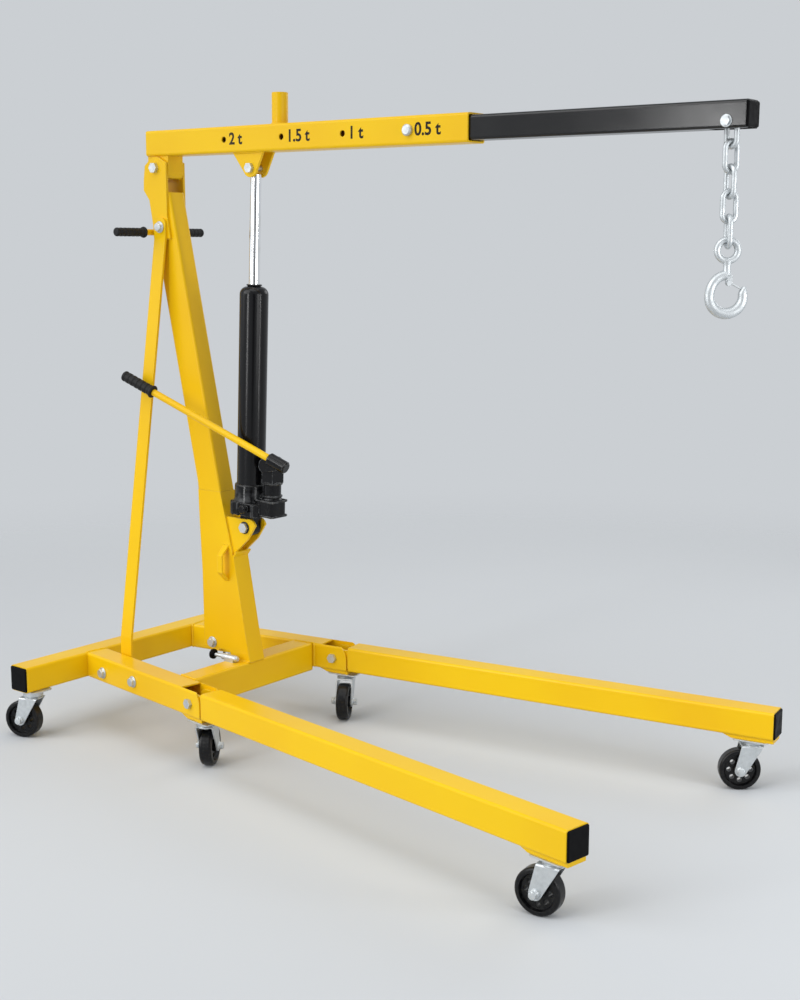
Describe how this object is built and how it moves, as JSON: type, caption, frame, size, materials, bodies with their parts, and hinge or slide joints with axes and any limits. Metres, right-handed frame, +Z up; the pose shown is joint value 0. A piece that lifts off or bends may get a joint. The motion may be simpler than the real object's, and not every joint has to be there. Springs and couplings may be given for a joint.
{
  "type": "folding workshop crane",
  "caption": "Wheeled folding shop crane: splayed legs on casters, leaning braced mast, pivoting boom with sliding extension, chain and hook, lifted by a hand-pumped hydraulic ram",
  "frame": {"origin": "middle of the bounding box, on the floor under the casters", "axes": "+X forward along the boom to the hook, +Y to the crane's left, +Z up"},
  "size_m": [1.7416, 0.893, 1.5299],
  "materials": {
    "yellow_paint": "gloss yellow paint on steel",
    "black_paint": "satin black paint on steel",
    "black_casting": "black painted casting",
    "black_plastic": "moulded black end caps",
    "black_rubber": "soft black grips",
    "zinc": "bright zinc plate",
    "chrome": "hard chromed ram rod",
    "wheel_black": "hard black tread"
  },
  "bodies": {
    "base": {"rear_crossbar": "yellow_paint", "crossbar_caps": "black_plastic", "rail_right": "yellow_paint", "rail_left": "yellow_paint", "front_crossmember": "yellow_paint", "mast_tube": "yellow_paint", "head_cheeks": "yellow_paint", "pedestal": "yellow_paint", "brace_right": "yellow_paint", "brace_left": "yellow_paint", "push_handle": "yellow_paint", "push_handle_grips": "black_rubber", "mast_pins": "zinc", "leg_pivot_bolts": "zinc", "caster_plates": "zinc", "lock_pin": "zinc", "lock_knob": "black_plastic", "handle_loop": "yellow_paint"},
    "leg_r": {"leg_right": "yellow_paint", "leg_right_cap": "black_plastic", "leg_right_caster_plate": "zinc"},
    "leg_l": {"leg_left": "yellow_paint", "leg_left_cap": "black_plastic", "leg_left_caster_plate": "zinc"},
    "boom": {"boom_tube": "yellow_paint", "ram_clevis": "yellow_paint", "ram_head_pin": "zinc", "boom_stub": "yellow_paint", "load_bolt": "zinc"},
    "extension": {"extension_tube": "black_paint", "extension_cap": "black_plastic", "hook_bolt": "zinc"},
    "hook_chain": {"chain": "zinc", "hook": "zinc"},
    "latch": {"hook_latch": "zinc"},
    "ram": {"ram_cylinder": "black_paint", "pump_base": "black_casting"},
    "rod": {"ram_rod": "chrome"},
    "pump_lever": {"handle_socket": "black_paint", "pump_handle": "yellow_paint", "pump_handle_grip": "black_rubber"},
    "swivel_rear_right": {"caster_fork_rear_right": "zinc"},
    "wheel_rear_right": {"caster_wheel_rear_right": "wheel_black"},
    "swivel_rear_left": {"caster_fork_rear_left": "zinc"},
    "wheel_rear_left": {"caster_wheel_rear_left": "wheel_black"},
    "swivel_mid_right": {"caster_fork_mid_right": "zinc"},
    "wheel_mid_right": {"caster_wheel_mid_right": "wheel_black"},
    "swivel_mid_left": {"caster_fork_mid_left": "zinc"},
    "wheel_mid_left": {"caster_wheel_mid_left": "wheel_black"},
    "swivel_front_right": {"caster_fork_front_right": "zinc"},
    "wheel_front_right": {"caster_wheel_front_right": "wheel_black"},
    "swivel_front_left": {"caster_fork_front_left": "zinc"},
    "wheel_front_left": {"caster_wheel_front_left": "wheel_black"}
  },
  "joints": [
    {"name": "boom_lift", "type": "hinge", "parent": "base", "child": "boom", "pos_m": [-0.66682, 0, 1.375], "axis": [0, -1, 0], "range_deg": [-15, 35]},
    {"name": "extension_slide", "type": "slide", "parent": "boom", "child": "extension", "axis": [1, 0, -0.0084], "range_m": [-0.54, 0]},
    {"name": "chain_swing", "type": "hinge", "parent": "extension", "child": "hook_chain", "pos_m": [0.82851, 0, 1.40847], "axis": [0, -1, 0], "range_deg": [-36, 16]},
    {"name": "hook_latch", "type": "hinge", "parent": "hook_chain", "child": "latch", "pos_m": [0.83166, 0.00246, 1.11977], "axis": [-0.6157, 0.788, 0], "range_deg": [0, 38], "stiffness_Nm_per_rad": 0.02, "springref_deg": -20.05},
    {"name": "ram_tilt", "type": "hinge", "parent": "base", "child": "ram", "pos_m": [-0.39682, 0, 0.52], "axis": [0, -1, 0], "range_deg": [-1.1, 2.5]},
    {"name": "ram_stroke", "type": "slide", "parent": "ram", "child": "rod", "axis": [0.0448, 0, 0.999], "range_m": [-0.0785, 0.1825]},
    {"name": "pump_stroke", "type": "hinge", "parent": "ram", "child": "pump_lever", "pos_m": [-0.31964, -0.042, 0.6787], "axis": [0, 1, 0], "range_deg": [0, 45]},
    {"name": "leg_r_fold", "type": "hinge", "parent": "base", "child": "leg_r", "pos_m": [-0.32982, -0.24555, 0.156], "axis": [-0.1513, -0.9885, 0], "range_deg": [0, 90]},
    {"name": "leg_l_fold", "type": "hinge", "parent": "base", "child": "leg_l", "pos_m": [-0.32982, 0.24555, 0.156], "axis": [0.1513, -0.9885, 0], "range_deg": [0, 90]},
    {"name": "swivel_rear_right", "type": "hinge", "parent": "base", "child": "swivel_rear_right", "pos_m": [-0.79782, -0.355, 0.105], "axis": [0, 0, 1], "continuous": true},
    {"name": "roll_rear_right", "type": "hinge", "parent": "swivel_rear_right", "child": "wheel_rear_right", "pos_m": [-0.82413, -0.36458, 0.046], "axis": [0.342, -0.9397, 0], "continuous": true},
    {"name": "swivel_rear_left", "type": "hinge", "parent": "base", "child": "swivel_rear_left", "pos_m": [-0.79782, 0.355, 0.105], "axis": [0, 0, 1], "continuous": true},
    {"name": "roll_rear_left", "type": "hinge", "parent": "swivel_rear_left", "child": "wheel_rear_left", "pos_m": [-0.82413, 0.36458, 0.046], "axis": [-0.342, -0.9397, 0], "continuous": true},
    {"name": "swivel_mid_right", "type": "hinge", "parent": "base", "child": "swivel_mid_right", "pos_m": [-0.30782, -0.24892, 0.105], "axis": [0, 0, 1], "continuous": true},
    {"name": "roll_mid_right", "type": "hinge", "parent": "swivel_mid_right", "child": "wheel_mid_right", "pos_m": [-0.32182, -0.22467, 0.046], "axis": [-0.866, -0.5, 0], "continuous": true},
    {"name": "swivel_mid_left", "type": "hinge", "parent": "base", "child": "swivel_mid_left", "pos_m": [-0.30782, 0.24892, 0.105], "axis": [0, 0, 1], "continuous": true},
    {"name": "roll_mid_left", "type": "hinge", "parent": "swivel_mid_left", "child": "wheel_mid_left", "pos_m": [-0.29382, 0.22467, 0.046], "axis": [0.866, 0.5, 0], "continuous": true},
    {"name": "swivel_front_right", "type": "hinge", "parent": "leg_r", "child": "swivel_front_right", "pos_m": [0.73518, -0.40852, 0.105], "axis": [0, 0, 1], "continuous": true},
    {"name": "roll_front_right", "type": "hinge", "parent": "swivel_front_right", "child": "wheel_front_right", "pos_m": [0.70733, -0.41145, 0.046], "axis": [0.1045, -0.9945, 0], "continuous": true},
    {"name": "swivel_front_left", "type": "hinge", "parent": "leg_l", "child": "swivel_front_left", "pos_m": [0.73518, 0.40852, 0.105], "axis": [0, 0, 1], "continuous": true},
    {"name": "roll_front_left", "type": "hinge", "parent": "swivel_front_left", "child": "wheel_front_left", "pos_m": [0.71253, 0.39206, 0.046], "axis": [0.5878, -0.809, 0], "continuous": true}
  ],
  "couplings": [
    {"joint": "ram_tilt", "follows": "boom_lift", "ratio": 0.066},
    {"joint": "ram_stroke", "follows": "boom_lift", "m_per_rad": 0.298},
    {"joint": "chain_swing", "follows": "boom_lift", "ratio": -1}
  ]
}
